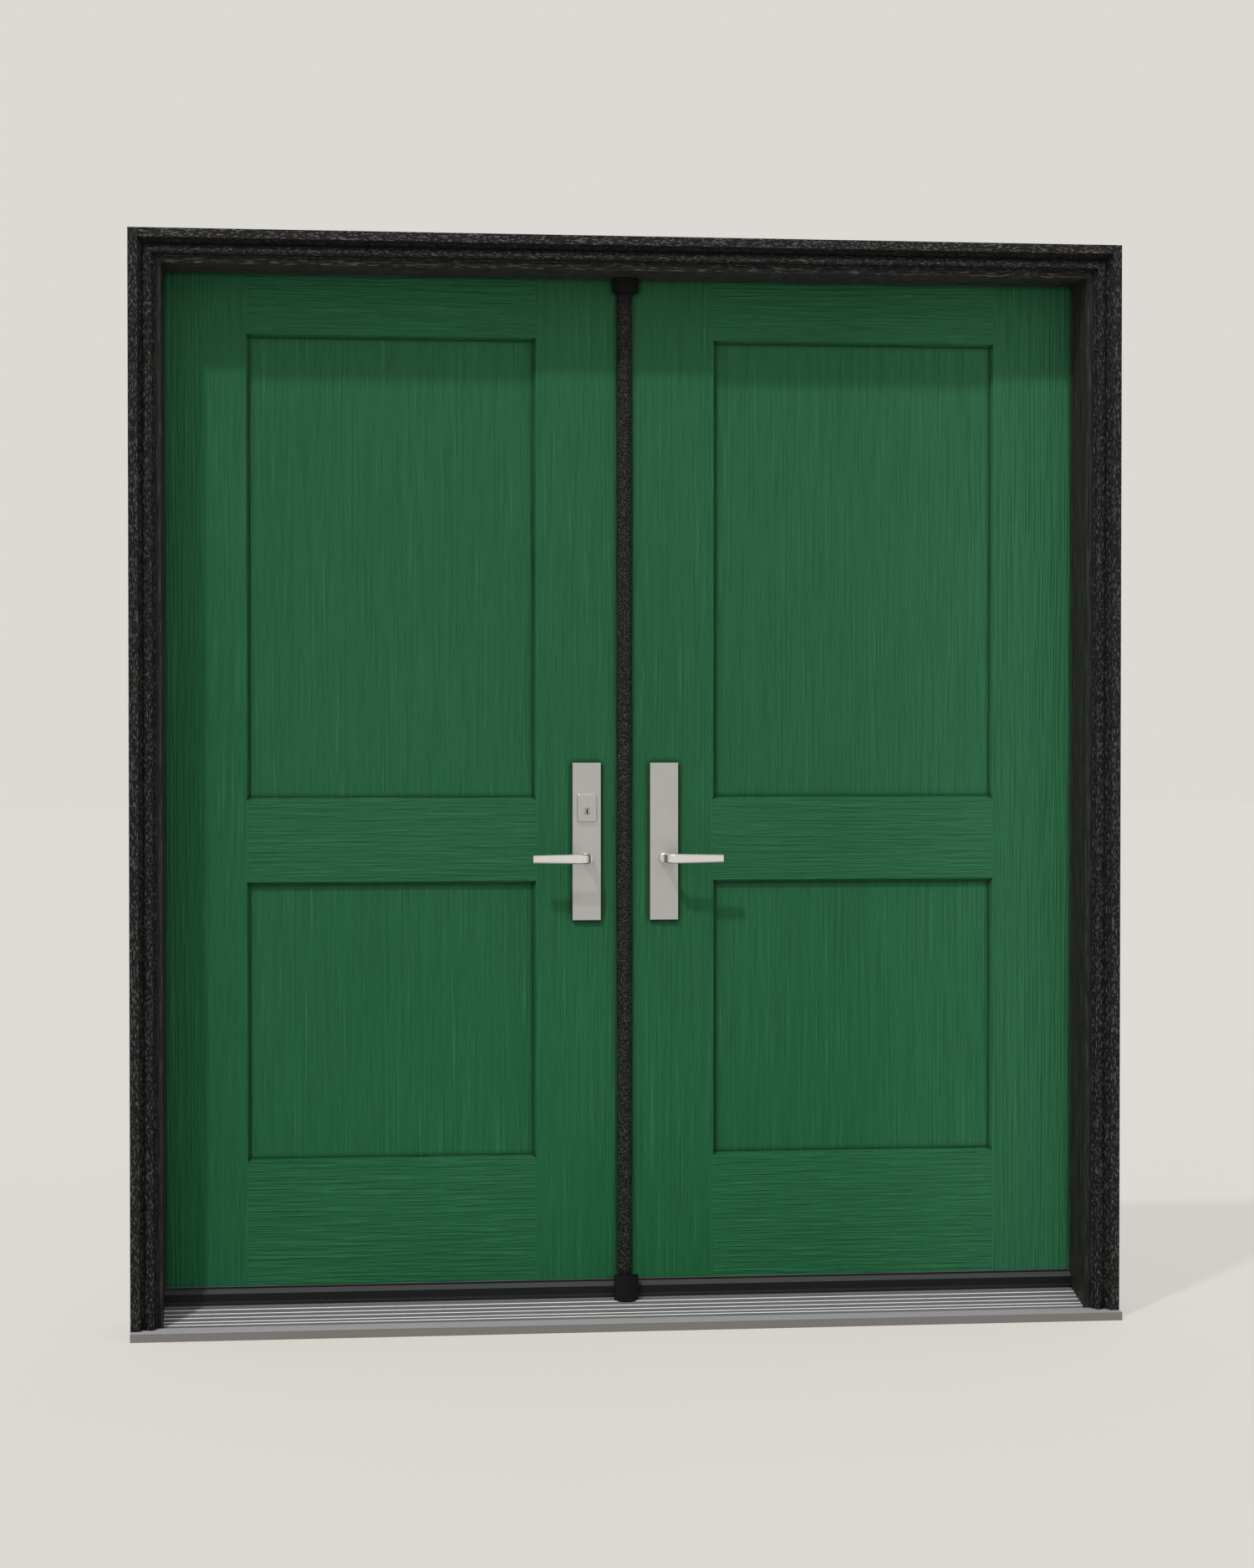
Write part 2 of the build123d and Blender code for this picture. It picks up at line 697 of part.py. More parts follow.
with BuildPart() as latch_channel:
    with BuildSketch(Plane.YZ.offset(leaf_near)):
        with Locations((leaf_mid, latch_z)):
            Rectangle(latch_thickness + 2 * clearance, latch_height + 2 * clearance)
    extrude(amount=latch_length + 1)
    with BuildSketch(Plane.YZ.offset(leaf_near)):
        with Locations((leaf_mid, cylinder_z)):
            Rectangle(deadbolt_thickness + 2 * clearance, deadbolt_height + 2 * clearance)
    extrude(amount=deadbolt_length + 1)
    add(cylinder_hole.part)

with BuildPart() as rod_channels:
    with Locations((rod_x, leaf_mid, bolt_case_top + 1)):
        Cylinder(
            rod_radius + clearance,
            rod_in_case + rod_throw + 2,
            align=(Align.CENTER, Align.CENTER, Align.MAX),
        )
    with Locations((rod_x, leaf_mid, bolt_case_bottom - 1)):
        Cylinder(
            rod_radius + clearance,
            rod_in_case + rod_throw + 2,
            align=(Align.CENTER, Align.CENTER, Align.MIN),
        )

lock_case = mortise_case(lock_case_bottom, lock_case_top, latch_channel)
bolt_case = mortise_case(bolt_case_bottom, bolt_case_top, rod_channels)
pieces["active_lock_case"] = mirrored(lock_case)
pieces["passive_bolt_case"] = bolt_case


def case_mortise(bottom, top):
    """Hole in the stile for a case, a little larger than the case, and its forend recess."""
    with BuildPart() as hole:
        with BuildSketch(Plane.XY.offset(bottom - 0.5)):
            with Locations((leaf_near, leaf_mid)):
                Rectangle(case_depth + 0.5, case_thickness + 1, align=(Align.MIN, Align.CENTER))
        extrude(amount=top - bottom + 1)
        with BuildSketch(Plane.XY.offset(bottom - forend_overrun)):
            with Locations((leaf_near, leaf_mid)):
                Rectangle(forend_thickness, forend_width, align=(Align.MIN, Align.CENTER))
        extrude(amount=top - bottom + 2 * forend_overrun)
        with Locations(Plane(origin=(handle_x, 0, lever_z), z_dir=(0, -1, 0)).location):
            Cylinder(neck_radius, jamb_depth * 3)
    return hole


with BuildPart() as active_lock_stile:
    add(plain_lock_stile.part)
    add(case_mortise(lock_case_bottom, lock_case_top).part, mode=Mode.SUBTRACT)
    add(cylinder_hole.part, mode=Mode.SUBTRACT)
    mirror(about=Plane.YZ, mode=Mode.REPLACE)
pieces["active_lock_stile"] = active_lock_stile

with BuildPart() as bolt_pocket:
    with BuildSketch(Plane.YZ.offset(-leaf_near)):
        with Locations((leaf_mid, cylinder_z)):
            Rectangle(deadbolt_thickness + 1.5, deadbolt_height + 1.5)
    extrude(amount=deadbolt_throw + 4)

with BuildPart() as passive_lock_stile:
    add(plain_lock_stile.part)
    add(case_mortise(bolt_case_bottom, bolt_case_top).part, mode=Mode.SUBTRACT)
    add(bolt_pocket.part, mode=Mode.SUBTRACT)
    with Locations((rod_x, leaf_mid, leaf_lift)):
        Cylinder(
            rod_radius + clearance,
            leaf_height,
            align=(Align.CENTER, Align.CENTER, Align.MIN),
            mode=Mode.SUBTRACT,
        )
pieces["passive_lock_stile"] = passive_lock_stile

# Bottom sweeps: a plate under the leaf with three fins
with BuildPart() as plain_sweep:
    with BuildSketch(Plane.YZ.offset(leaf_near + 1)):
        with Locations((leaf_mid, leaf_lift)):
            Rectangle(leaf_thickness - 2 * sweep_inset, sweep_plate, align=(Align.CENTER, Align.MAX))
        with Locations(*[(leaf_mid + step * leaf_thickness, leaf_lift) for step in (-0.4, 0, 0.4)]):
            Rectangle(1.6, leaf_lift - cap_height - clearance, align=(Align.CENTER, Align.MAX))
    extrude(amount=leaf_width - 2)
pieces["active_sweep"] = mirrored(plain_sweep)

with BuildPart() as passive_sweep:
    add(plain_sweep.part)
    with Locations((rod_x, leaf_mid, leaf_lift)):
        Hole(rod_radius + 0.8, leaf_lift - cap_height)
pieces["passive_sweep"] = passive_sweep

# Cover bar with its web in the gap between the leaves
with BuildPart() as astragal:
    with BuildSketch(Plane.XY.offset(bar_bottom)):
        with BuildLine():
            Line((bar_centre_x - bar_width / 2, leaf_front - bar_relief), (leaf_near, leaf_front - bar_relief))
            Line((leaf_near, leaf_front - bar_relief), (leaf_near, leaf_front))
            Line((leaf_near, leaf_front), (bar_centre_x + bar_width / 2, leaf_front))
            Line(
                (bar_centre_x + bar_width / 2, leaf_front),
                (bar_centre_x + bar_width / 2, leaf_front - bar_side),
            )
            ThreePointArc(
                (bar_centre_x + bar_width / 2, leaf_front - bar_side),
                (bar_centre_x, leaf_front - bar_projection),
                (bar_centre_x - bar_width / 2, leaf_front - bar_side),
            )
            Line(
                (bar_centre_x - bar_width / 2, leaf_front - bar_side),
                (bar_centre_x - bar_width / 2, leaf_front - bar_relief),
            )
        make_face()
    extrude(amount=bar_top - bar_bottom)
    with BuildSketch(Plane.XY.offset(leaf_lift)):
        with Locations((leaf_near, leaf_front)):
            Rectangle(web_reach, web_depth, align=(Align.MAX, Align.MIN))
    extrude(amount=leaf_height)
    with BuildSketch(Plane.XY.offset(bar_bottom)):
        with Locations((leaf_near, leaf_front - bar_relief)):
            Rectangle(web_reach, bar_relief, align=(Align.MAX, Align.MIN))
    extrude(amount=bar_top - bar_bottom)
    with BuildSketch(Plane.XY.offset(lock_case_bottom)):
        with Locations((leaf_near - web_reach, leaf_mid)):
            Rectangle(strike_thickness, forend_width, align=(Align.MIN, Align.CENTER))
    extrude(amount=lock_case_top - lock_case_bottom, mode=Mode.SUBTRACT)
    add(bolt_pocket.part, mode=Mode.SUBTRACT)
    with BuildSketch(Plane.YZ.offset(-leaf_near)):
        with Locations((leaf_mid, latch_z)):
            Rectangle(latch_thickness + 1.5, latch_height + 1.5)
    extrude(amount=latch_throw + 3, mode=Mode.SUBTRACT)
pieces["astragal"] = astragal

with BuildPart() as astragal_seal:
    with BuildSketch(Plane.XY.offset(bar_bottom)):
        with Locations((bar_centre_x - bar_width / 2 + 0.5, leaf_front - clearance)):
            Rectangle(5.0, bar_relief - clearance, align=(Align.MIN, Align.MAX))
    extrude(amount=bar_top - bar_bottom)
pieces["astragal_seal"] = astragal_seal

with BuildPart() as strike_plate:
    with BuildSketch(Plane.XY.offset(lock_case_bottom)):
        with Locations((leaf_near - web_reach, leaf_mid)):
            Rectangle(strike_thickness, forend_width, align=(Align.MIN, Align.CENTER))
    extrude(amount=lock_case_top - lock_case_bottom)
    fillet(strike_plate.edges().filter_by(Axis.X), 4)
    add(bolt_pocket.part, mode=Mode.SUBTRACT)
    with BuildSketch(Plane.YZ.offset(-leaf_near)):
        with Locations((leaf_mid, latch_z)):
            Rectangle(latch_thickness + 1.5, latch_height + 1.5)
    extrude(amount=latch_throw + 3, mode=Mode.SUBTRACT)
pieces["strike_plate"] = strike_plate

# Latch and dead bolt, in place in the left leaf, and the two rods of the right leaf
with BuildPart() as latch_bolt:
    with BuildSketch(Plane.XY.offset(latch_z - latch_height / 2)):
        with BuildLine():
            Polyline(
                (-leaf_near - latch_length + latch_throw, leaf_mid - latch_thickness / 2),
                (-leaf_near + 1, leaf_mid - latch_thickness / 2),
                (-leaf_near + latch_throw, leaf_mid + latch_thickness / 2 - 3),
                (-leaf_near + latch_throw, leaf_mid + latch_thickness / 2),
                (-leaf_near - latch_length + latch_throw, leaf_mid + latch_thickness / 2),
                close=True,
            )
        make_face()
    extrude(amount=latch_height)
pieces["latch_bolt"] = latch_bolt

with BuildPart() as deadbolt:
    with BuildSketch(Plane.YZ.offset(-leaf_near - 0.2)):
        with Locations((leaf_mid, cylinder_z)):
            Rectangle(deadbolt_thickness, deadbolt_height)
    extrude(amount=-(deadbolt_length - 0.2))
    chamfer(deadbolt.faces().sort_by(Axis.X)[-1].edges(), 1)
pieces["deadbolt"] = deadbolt

with BuildPart() as top_shoot_bolt:
    with Locations((rod_x, leaf_mid, bolt_case_top - rod_in_case)):
        Cylinder(
            rod_radius,
            leaf_top + rod_throw - bolt_case_top + rod_in_case,
            align=(Align.CENTER, Align.CENTER, Align.MIN),
        )
    chamfer(top_shoot_bolt.faces().sort_by(Axis.Z)[-1].edges(), 1.5)
pieces["top_shoot_bolt"] = top_shoot_bolt

with BuildPart() as bottom_shoot_bolt:
    with Locations((rod_x, leaf_mid, bolt_case_bottom + rod_in_case)):
        Cylinder(
            rod_radius,
            bolt_case_bottom + rod_in_case - leaf_lift + rod_throw,
            align=(Align.CENTER, Align.CENTER, Align.MAX),
        )
    chamfer(bottom_shoot_bolt.faces().sort_by(Axis.Z)[0].edges(), 1.5)
pieces["bottom_shoot_bolt"] = bottom_shoot_bolt

# Keep: a flange let in flush, with a socket that the rod enters
with BuildPart() as keep:
    with BuildSketch():
        Circle(keep_radius * 1.6)
    extrude(amount=-keep_plate)
    with BuildSketch():
        Circle(keep_radius)
    extrude(amount=-keep_depth)
    with BuildSketch():
        Circle(rod_radius + 0.8)
    extrude(amount=-keep_depth, mode=Mode.SUBTRACT)

with BuildPart() as bolt_keeps:
    with Locations(
        Plane(origin=(rod_x, leaf_mid, cap_height), z_dir=(0, 0, 1)).location,
        Plane(origin=(rod_x, leaf_mid, rabbet_z), z_dir=(0, 0, -1)).location,
    ):
        add(keep.part)
pieces["bolt_keeps"] = bolt_keeps

# Handle plates
with BuildPart() as plain_plate:
    with BuildSketch(handle_plane.offset(-leaf_front)):
        with Locations((0, plate_bottom)):
            Rectangle(plate_width, plate_height, align=(Align.CENTER, Align.MIN))
    extrude(amount=plate_thickness)
    chamfer(plain_plate.faces().sort_by(Axis.Y)[0].edges(), plate_edge)
    with Locations(Plane(origin=(handle_x, plate_front, lever_z), z_dir=(0, -1, 0)).location):
        Hole(neck_radius + clearance)
pieces["passive_outer_plate"] = plain_plate
pieces["passive_inner_plate"] = mirrored(plain_plate, mirror_y)

with BuildPart() as keyed_plate:
    add(plain_plate.part)
    add(cylinder_hole.part, mode=Mode.SUBTRACT)
pieces["active_outer_plate"] = mirrored(keyed_plate)
pieces["active_inner_plate"] = mirrored(mirrored(keyed_plate, mirror_y))

with BuildPart() as right_guard:
    with BuildSketch(handle_plane.offset(-plate_front)):
        with Locations((0, cylinder_z + (cylinder_stem_reach - cylinder_radius) / 2)):
            RectangleRounded(guard_width, guard_height, guard_corner)
    extrude(amount=guard_depth)
    chamfer(right_guard.faces().sort_by(Axis.Y)[0].edges(), plate_edge)
    add(cylinder_hole.part, mode=Mode.SUBTRACT)
pieces["cylinder_guard"] = mirrored(right_guard)

cylinder_front = plate_front - guard_depth
cylinder_back = jamb_depth + plate_thickness + 1
with BuildPart() as right_cylinder:
    with BuildSketch(handle_plane.offset(-cylinder_back)):
        with Locations((0, cylinder_z)):
            add(cylinder_section.sketch)
    extrude(amount=cylinder_back - cylinder_front)
    with Locations(Plane(origin=(handle_x, cylinder_front, cylinder_z), z_dir=(0, -1, 0)).location):
        CounterBoreHole(turn_radius + clearance, plug_radius + clearance, 32)
pieces["key_cylinder"] = mirrored(right_cylinder)

with BuildPart() as right_plug:
    with BuildSketch(handle_plane.offset(-(cylinder_front + 31))):
        with Locations((0, cylinder_z)):
            Circle(plug_radius)
    extrude(amount=31.5)
    with BuildSketch(handle_plane.offset(-(cylinder_front + 9))):
        with Locations((0, cylinder_z)):
            Rectangle(2.6, 9.4)
    extrude(amount=12, mode=Mode.SUBTRACT)
pieces["key_plug"] = mirrored(right_plug)

with BuildPart() as right_turn:
    with BuildSketch(handle_plane.offset(-(cylinder_front + 34))):
        with Locations((0, cylinder_z)):
            Circle(turn_radius)
    extrude(amount=-(cylinder_back - cylinder_front - 34 + 4))
    with BuildSketch(handle_plane.offset(-(cylinder_back + clearance))):
        with Locations((0, cylinder_z)):
            Circle(cylinder_radius)
    extrude(amount=-4)
    with BuildSketch(handle_plane.offset(-(cylinder_back + 4))):
        with Locations((0, cylinder_z)):
            SlotOverall(34, 9, rotation=90)
    extrude(amount=-16)
    chamfer(right_turn.faces().sort_by(Axis.Y)[-1].edges(), 1.5)
pieces["thumbturn"] = mirrored(right_turn)

# Levers and their square spindles: the bar is bent in plan and tapers towards its tip
lever_y = leaf_front - lever_standoff + lever_bar_thickness / 2
neck_front = plate_front - 16


def bar_section(height):
    """Section of the lever's bar, with chamfered edges."""
    with BuildSketch() as section:
        Rectangle(lever_bar_thickness, height)
        chamfer(section.vertices(), lever_edge)
    return section.sketch


with BuildPart() as right_lever:
    with BuildSketch(handle_plane.offset(-(plate_front + 7.5))):
        with Locations((0, lever_z)):
            Circle(neck_radius)
    extrude(amount=plate_front + 7.5 - neck_front)
    chamfer(right_lever.faces().sort_by(Axis.Y)[0].edges(), 1)
    with BuildLine() as lever_path:
        FilletPolyline(
            (handle_x, neck_front + 3, lever_z),
            (handle_x, lever_y, lever_z),
            (handle_x + lever_bend + 1, lever_y, lever_z),
            radius=lever_bend,
        )
    with BuildSketch(Plane(origin=lever_path.line @ 0, x_dir=(1, 0, 0), z_dir=lever_path.line % 0)):
        add(bar_section(lever_bend_height))
    sweep()
    for along, height in ((lever_bend + 1, lever_bend_height), (lever_reach, lever_tip_height)):
        with BuildSketch(Plane.YZ.offset(handle_x + along)):
            with Locations((lever_y, lever_z)):
                add(bar_section(height))
    loft()
    with BuildSketch(handle_plane.offset(-leaf_front)):
        with Locations((0, lever_z)):
            Rectangle(spindle_size, spindle_size)
    extrude(amount=(spindle_length - leaf_thickness) / 2, mode=Mode.SUBTRACT)
pieces["passive_outer_lever"] = right_lever
pieces["active_outer_lever"] = mirrored(right_lever)
right_inner_lever = mirrored(right_lever, mirror_y)
pieces["passive_inner_lever"] = right_inner_lever
pieces["active_inner_lever"] = mirrored(right_inner_lever)

with BuildPart() as right_spindle:
    with BuildSketch(handle_plane.offset(-leaf_mid)):
        with Locations((0, lever_z)):
            Rectangle(spindle_size, spindle_size)
    extrude(amount=spindle_length / 2, both=True)
    with BuildSketch(handle_plane.offset(-leaf_mid)):
        with Locations((0, lever_z)):
            Circle(follower_radius)
    extrude(amount=case_thickness / 2 - 0.5, both=True)
pieces["passive_spindle"] = right_spindle
pieces["active_spindle"] = mirrored(right_spindle)

os.makedirs("parts", exist_ok=True)
for name, piece in pieces.items():
    piece.part.label = name
    export_step(piece.part, "parts/" + name + ".step")
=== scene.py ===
"""Looks of the double doors: finishes for every piece, the guard's face, floor, light and camera."""
import math

import bpy
from mathutils import Matrix, Vector


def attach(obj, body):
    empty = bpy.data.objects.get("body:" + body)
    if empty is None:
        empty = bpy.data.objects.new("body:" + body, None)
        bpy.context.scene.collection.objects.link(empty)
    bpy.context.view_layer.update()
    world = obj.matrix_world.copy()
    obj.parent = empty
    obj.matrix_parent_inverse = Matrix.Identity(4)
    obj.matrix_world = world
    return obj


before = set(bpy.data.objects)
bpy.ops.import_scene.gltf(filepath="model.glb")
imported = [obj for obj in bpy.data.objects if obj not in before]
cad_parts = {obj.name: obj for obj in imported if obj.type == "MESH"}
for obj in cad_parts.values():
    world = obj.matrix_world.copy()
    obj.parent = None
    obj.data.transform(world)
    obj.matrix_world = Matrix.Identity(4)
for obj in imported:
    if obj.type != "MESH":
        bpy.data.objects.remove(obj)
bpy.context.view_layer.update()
scene = bpy.context.scene

# Places on the doors where a finish changes, in metres
LEAF_SHADE_Z = (0.15, 2.0)
# Widths over which the leaves' green is painted lighter towards the right, a painted pool of light
LEAF_PAINTED_LIGHT_X = (0.45, 0.95)
# Heights over which the frame's black is painted darker towards the bottom, painted shade
FRAME_PAINTED_SHADE_Z = (0.1, 2.1)
DECK_LEVEL_END_Y = 0.003
DECK_LEVEL_Z = 0.0156
DECK_SLOPE = 0.2291
DECK_RIB_RISE = (0.0002, 0.0008)
DECK_LIP_Z = (0.0392, 0.0396)
DECK_NOSE_Z = (0.0150, 0.0140)
SWEEP_EDGE_Z = 0.0750
KEY_SLOT_Y = 0.0994

# Rounding of the arrises, in metres, and how strongly it shows as wear
PAINTED_ARRIS = 0.0009
MOULDED_ARRIS = 0.0008
SHEET_ARRIS = 0.0005
PLATE_ARRIS = 0.0006
HANDLE_ARRIS = 0.0014
WEAR_GAIN = 6.0


def linear(red, green, blue):
    """A colour given as it shows on screen, 0 to 255, turned into scene light."""
    return tuple(
        c / 12.92 if c <= 0.04045 else ((c + 0.055) / 1.055) ** 2.4
        for c in (red / 255, green / 255, blue / 255)
    )


def times(tone, factor):
    return tuple(factor * c for c in tone)


def even(value):
    """One value three times: a neutral tone, or a scale that is the same along every axis."""
    return (value, value, value)


def along(axis, run, cross):
    """One value along the grain's axis and another on the two axes across it."""
    return tuple(run if axis == letter else cross for letter in "xyz")


class Finish:
    """One material, with short calls for the nodes that the finishes share."""

    def __init__(self, name, **values):
        self.material = bpy.data.materials.new(name)
        self.material.use_nodes = True
        self.tree = self.material.node_tree
        self.shader = self.tree.nodes["Principled BSDF"]
        for socket, value in values.items():
            self.shader.inputs[socket.replace("_", " ")].default_value = value
        self.coordinates = self.node("ShaderNodeTexCoord").outputs["Object"]

    def node(self, kind, inputs=None, **settings):
        made = self.tree.nodes.new(kind)
        for key, value in settings.items():
            setattr(made, key, value)
        for socket, value in (inputs or {}).items():
            if isinstance(value, bpy.types.NodeSocket):
                self.tree.links.new(value, made.inputs[socket])
            else:
                made.inputs[socket].default_value = value
        return made

    def link(self, value, socket):
        self.tree.links.new(value, self.shader.inputs[socket])

    def math(self, operation, first, second=0.0, clamp=False):
        inputs = {0: first, 1: second}
        return self.node("ShaderNodeMath", inputs, operation=operation, use_clamp=clamp).outputs[0]

    def vector_math(self, operation, first, second, output="Vector"):
        inputs = {0: first, 1: second}
        return self.node("ShaderNodeVectorMath", inputs, operation=operation).outputs[output]

    def fit(self, value, low, high, new_low=0.0, new_high=1.0):
        """The value moved from one range to another, held at its ends."""
        inputs = {
            "Value": value,
            "From Min": low,
            "From Max": high,
            "To Min": new_low,
            "To Max": new_high,
        }
        return self.node("ShaderNodeMapRange", inputs).outputs["Result"]

    def blend(self, amount, first, second, how="MIX"):
        made = self.node("ShaderNodeMix", data_type="RGBA", blend_type=how)
        for index, value in ((0, amount), (6, first), (7, second)):
            if isinstance(value, bpy.types.NodeSocket):
                self.tree.links.new(value, made.inputs[index])
            elif index:
                made.inputs[index].default_value = (*value[:3], 1.0)
            else:
                made.inputs[index].default_value = value
        return made.outputs[2]

    def scaled(self, scale, vector=None, shift=(0, 0, 0)):
        inputs = {"Vector": vector or self.coordinates, "Scale": scale, "Location": shift}
        return self.node("ShaderNodeMapping", inputs).outputs["Vector"]

    def noise(self, scale, detail=2.0, roughness=0.5, vector=None, shift=(0, 0, 0)):
        inputs = {
            "Vector": self.scaled(scale, vector, shift),
            "Scale": 1.0,
            "Detail": detail,
            "Roughness": roughness,
        }
        return self.node("ShaderNodeTexNoise", inputs).outputs["Fac"]

    def warped(self, scale, amounts):
        """The coordinates pushed about by a slow noise, by amounts in metres along each axis."""
        inputs = {"Vector": self.scaled(scale), "Scale": 1.0, "Detail": 1.0}
        drift = self.node("ShaderNodeTexNoise", inputs).outputs["Color"]
        centred = self.vector_math("SUBTRACT", drift, (0.5, 0.5, 0.5))
        pushed = self.vector_math("MULTIPLY", centred, amounts)
        return self.vector_math("ADD", self.coordinates, pushed)

    def edges(self, radius):
        """Rounded normals at the arrises, and a mask that is bright along them."""
        rounded = self.node("ShaderNodeBevel", {"Radius": radius}, samples=4).outputs["Normal"]
        flat = self.node("ShaderNodeNewGeometry").outputs["Normal"]
        agreement = self.vector_math("DOT_PRODUCT", rounded, flat, "Value")
        bend = self.math("SUBTRACT", 1.0, agreement)
        return rounded, self.math("MULTIPLY", bend, WEAR_GAIN, clamp=True)

    def relief(self, height, distance, normal=None):
        inputs = {"Height": height, "Distance": distance, "Strength": 1.0}
        if normal is not None:
            inputs["Normal"] = normal
        self.link(self.node("ShaderNodeBump", inputs).outputs["Normal"], "Normal")

    def occlusion_shade(self, reach, low, high):
        """Mask for painted shade: one where the surface lies open, falling to zero in corners and
        narrow gaps.
        """
        inputs = {"Distance": reach}
        painted_corner_shade = self.node("ShaderNodeAmbientOcclusion", inputs, samples=3).outputs["AO"]
        return self.fit(painted_corner_shade, low, high)

    def place(self, axis):
        """Where the surface is along one axis, X, Y or Z."""
        return self.node("ShaderNodeSeparateXYZ", {0: self.coordinates}).outputs[axis]

    def facing(self, axis):
        """How far the surface faces along one axis, X, Y or Z."""
        normal = self.node("ShaderNodeNewGeometry").outputs["Normal"]
        return self.node("ShaderNodeSeparateXYZ", {0: normal}).outputs[axis]


GREEN_TOP = (0.0158, 0.1000, 0.0410)
GREEN_FOOT = (0.0068, 0.0870, 0.0310)
# Green of the painted light on the leaves' right-hand side
GREEN_PAINTED_LIGHT = (0.050, 0.200, 0.105)
GREEN_PATCH = (0.020, 0.118, 0.052)
GREEN_RIDGE = (0.034, 0.150, 0.072)
GREEN_VALLEY = (0.006, 0.055, 0.020)
GREEN_WORN = (0.05, 0.20, 0.10)
# Green of the painted shade in corners and gaps
GREEN_PAINTED_SHADE = (0.001, 0.012, 0.004)


def painted_wood(name, axis, run, waviness, line_depth, line_cross, shift):
    """Painted leaf wood: embossed grain, upright on stiles and panels and level on rails, with painted
    light towards the right-hand side and painted shade in corners and gaps.
    """
    finish = Finish(name, Specular_IOR_Level=0.13, Roughness=0.5)
    grain = finish.warped(along(axis, 5.0, 9.0), along(axis, 0.0, waviness))
    lines = finish.noise(along(axis, run, line_cross), 3.0, 0.55, grain, shift)
    fine = finish.noise(along(axis, 12.0, line_cross * 3.3), 2.0, 0.5, grain, shift)
    pores = finish.noise(along(axis, 45.0, 900.0), 1.0, 0.5, grain, shift)
    patches = finish.noise((2.3, 2.3, 1.6), 3.0, 0.5, None, shift)
    ridges = finish.fit(lines, 0.36, 0.66)
    height = finish.math("ADD", ridges, finish.math("MULTIPLY", fine, 0.35))
    height = finish.math("ADD", height, finish.math("MULTIPLY", pores, 0.08))
    rounded, edge = finish.edges(PAINTED_ARRIS)
    finish.relief(height, line_depth, rounded)
    base = finish.blend(finish.fit(finish.place("Z"), *LEAF_SHADE_Z), GREEN_FOOT, GREEN_TOP)
    # Painted light: the green grows lighter towards the right-hand side
    painted_light = finish.fit(finish.place("X"), *LEAF_PAINTED_LIGHT_X, 0.0, 0.36)
    base = finish.blend(painted_light, base, GREEN_PAINTED_LIGHT)
    base = finish.blend(finish.fit(patches, 0.3, 0.7, 0.0, 0.25), base, GREEN_PATCH)
    base = finish.blend(finish.fit(ridges, 0.75, 1.0, 0.0, 0.32), base, GREEN_RIDGE)
    base = finish.blend(finish.fit(ridges, 0.25, 0.0, 0.0, 0.35), base, GREEN_VALLEY)
    base = finish.blend(finish.math("MULTIPLY", edge, 0.45), base, GREEN_WORN)
    # Painted shade: the green darkens to near black in corners and narrow gaps
    base = finish.blend(finish.occlusion_shade(0.012, 0.5, 1.0), GREEN_PAINTED_SHADE, base)
    finish.link(base, "Base Color")
    finish.link(finish.fit(fine, 0.3, 0.7, 0.44, 0.6), "Roughness")
    return finish.material


def black_grain(
    name, axis, tone, depth, glint_speck, gloss, cross=520.0, run=70.0, painted_side_light=None,
    painted_corner_shade=(0.02, 0.35, 0.85),
):
    """Black textured finish of mouldings, jambs and cover bar, with short pale flecks along the grain
    that are painted glints.
    Faces turned away from the front take the side tone given, painted light; the black is painted
    darker towards the bottom, and the last argument says how corners darken, painted shade."""
    finish = Finish(name, Specular_IOR_Level=gloss, Roughness=0.5)
    grain = finish.warped(along(axis, 14.0, 30.0), along(axis, 0.0, 0.002))
    strands = finish.noise(along(axis, run, cross), 2.0, 0.6, grain)
    broad = finish.noise(along(axis, run * 0.18, cross * 0.3), 2.0, 0.5, grain)
    glint_flecks = finish.noise(along(axis, run * 1.8, cross * 0.95), 1.0, 0.5, grain)
    ridges = finish.fit(strands, 0.42, 0.62)
    height = finish.math("ADD", ridges, finish.math("MULTIPLY", broad, 0.4))
    rounded, edge = finish.edges(PAINTED_ARRIS)
    finish.relief(height, depth, rounded)
    # Painted light: faces turned to the side take a paler tone, for sheen and light from the
    # surroundings
    if painted_side_light is not None:
        frontward = finish.math("ABSOLUTE", finish.facing("Y"))
        tone = finish.blend(finish.fit(frontward, 0.3, 0.7), painted_side_light, tone)
    # Painted shade: the black grows darker towards the bottom
    ground = finish.blend(finish.fit(finish.place("Z"), *FRAME_PAINTED_SHADE_Z), even(0.6), even(1.0))
    ground = finish.blend(1.0, ground, tone, "MULTIPLY")
    base = finish.blend(finish.fit(strands, 0.58, 0.38, 0.0, 0.75), ground, even(0.0))
    base = finish.blend(finish.fit(broad, 0.35, 0.7, 0.0, 0.25), base, tone, "ADD")
    # Painted glints: short pale flecks along the grain
    base = finish.blend(finish.fit(glint_flecks, 0.56, 0.63, 0.0, glint_speck), base, even(0.16))
    base = finish.blend(finish.math("MULTIPLY", edge, 0.3), base, (0.08, 0.08, 0.078))
    # Painted shade: corners, coves and narrow gaps darken to near black
    base = finish.blend(finish.occlusion_shade(*painted_corner_shade), even(0.0015), base)
    finish.link(base, "Base Color")
    finish.link(finish.fit(strands, 0.35, 0.7, 0.66, 0.42), "Roughness")
    return finish.material


